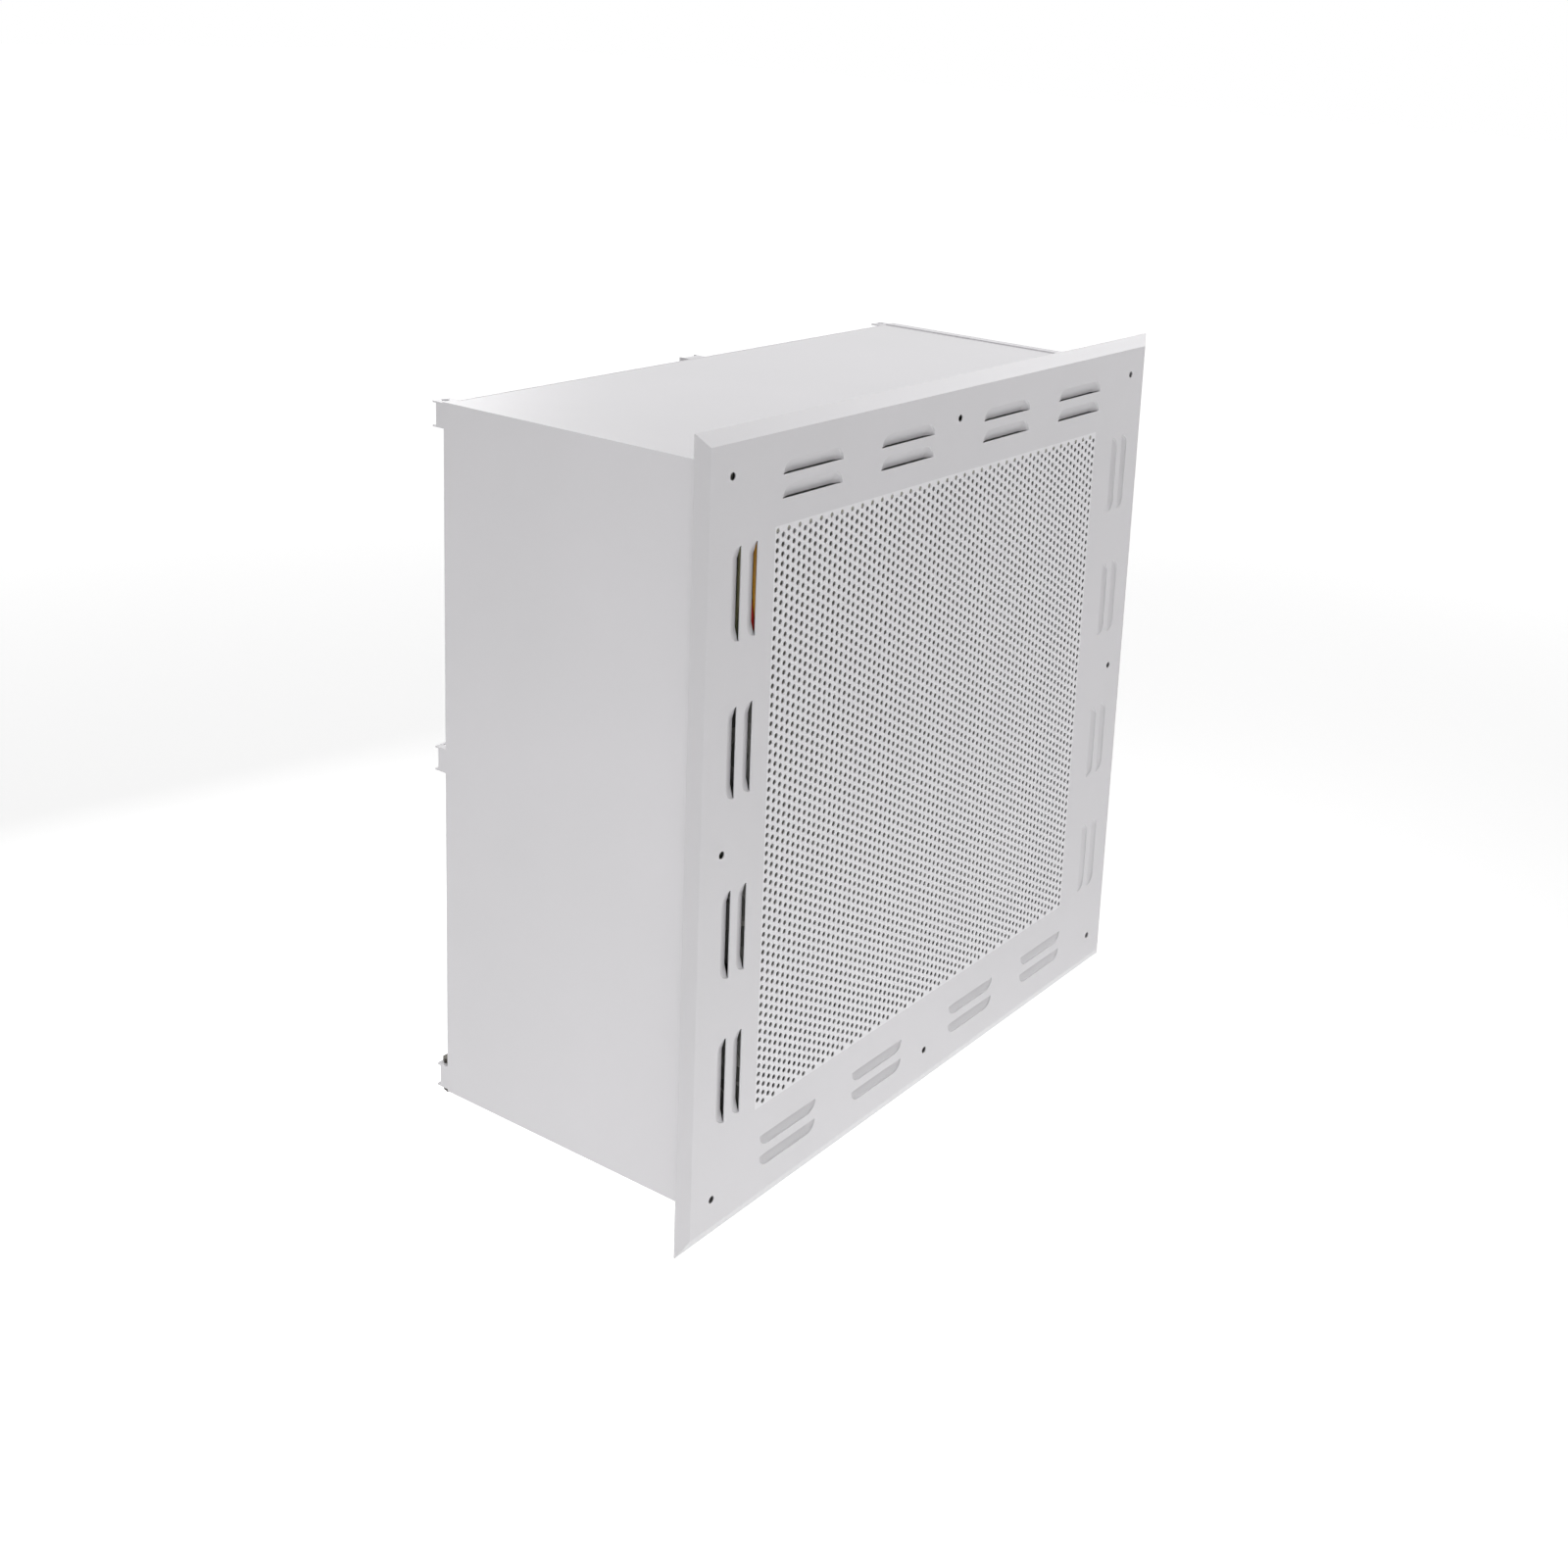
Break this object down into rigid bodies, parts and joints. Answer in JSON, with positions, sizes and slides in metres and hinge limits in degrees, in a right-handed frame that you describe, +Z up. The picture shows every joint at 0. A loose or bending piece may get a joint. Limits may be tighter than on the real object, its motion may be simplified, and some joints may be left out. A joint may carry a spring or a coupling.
{
  "type": "fan-powered hepa air outlet",
  "caption": "Square cleanroom air outlet box with a louvred and perforated white face panel, a fan and a HEPA filter inside, and hanging lugs at the rear.",
  "frame": {"origin": "centre of the face panel's screw pattern, on the panel's front face", "axes": "-Y out of the face, +Y through the casing to the rear cover, +Z up, +X to the right seen from the front"},
  "size_m": [0.69, 0.3242, 0.69],
  "materials": {
    "panel_paint": "white powder coat, satin",
    "casing_paint": "white powder coat, satin",
    "foam": "closed-cell foam seal",
    "dark_steel": "oiled steel",
    "zinc_sheet": "galvanised sheet",
    "zinc_screws": "zinc plated",
    "filter_frame_metal": "plain extruded",
    "filter_paper": "glass fibre paper, pleated",
    "wheel_metal": "plain sheet",
    "motor_black": "black enamel",
    "grey_plastic": "moulded",
    "white_plastic": "moulded",
    "gland_plastic": "moulded nylon",
    "black_rubber": "soft",
    "lead_brown": "lead insulation",
    "lead_yellow": "lead insulation",
    "lead_red": "lead insulation",
    "lead_green": "lead insulation"
  },
  "bodies": {
    "casing_body": {"bearings": "zinc_screws", "cable_gland": "gland_plastic", "capacitor": "white_plastic", "capacitor_clip": "zinc_sheet", "casing_bottom": "casing_paint", "casing_left": "casing_paint", "casing_right": "casing_paint", "casing_top": "casing_paint", "clamp_screws": "zinc_screws", "cover_screws": "zinc_screws", "face_panel": "panel_paint", "filter_clamps": "zinc_sheet", "filter_frame": "filter_frame_metal", "filter_gasket": "foam", "filter_pack": "filter_paper", "filter_seat": "zinc_sheet", "gland_nut": "gland_plastic", "inlet_ring": "zinc_sheet", "lead_brown": "lead_brown", "lead_clips": "black_rubber", "lead_connector": "white_plastic", "lead_green": "lead_green", "lead_grommet": "black_rubber", "lead_red": "lead_red", "lead_yellow": "lead_yellow", "lug_bolts": "dark_steel", "lug_bottom": "casing_paint", "lug_bottom_left": "casing_paint", "lug_bottom_right": "casing_paint", "lug_left": "casing_paint", "lug_right": "casing_paint", "lug_top": "casing_paint", "lug_top_left": "casing_paint", "lug_top_right": "casing_paint", "motor_cable": "black_rubber", "motor_mount": "zinc_sheet", "motor_stator": "motor_black", "panel_seal": "foam", "plenum": "zinc_sheet", "plenum_screws": "zinc_screws", "plenum_seal": "foam", "rear_cover": "casing_paint", "stay_bottom": "zinc_sheet", "stay_left": "zinc_sheet", "stay_right": "zinc_sheet", "stay_top": "zinc_sheet", "tab_bottom": "zinc_sheet", "tab_bottom_left": "zinc_sheet", "tab_bottom_right": "zinc_sheet", "tab_left": "zinc_sheet", "tab_nuts": "zinc_sheet", "tab_right": "zinc_sheet", "tab_top": "zinc_sheet", "tab_top_left": "zinc_sheet", "tab_top_right": "zinc_sheet", "terminal_box": "grey_plastic", "terminal_lid": "grey_plastic"},
    "fan_rotor": {"impeller": "wheel_metal", "motor_rotor": "motor_black", "motor_shaft": "dark_steel"}
  },
  "joints": [
    {"name": "fan_spin", "type": "hinge", "parent": "casing_body", "child": "fan_rotor", "pos_m": [0, 0.15, 0], "axis": [0, 1, 0], "continuous": true}
  ]
}
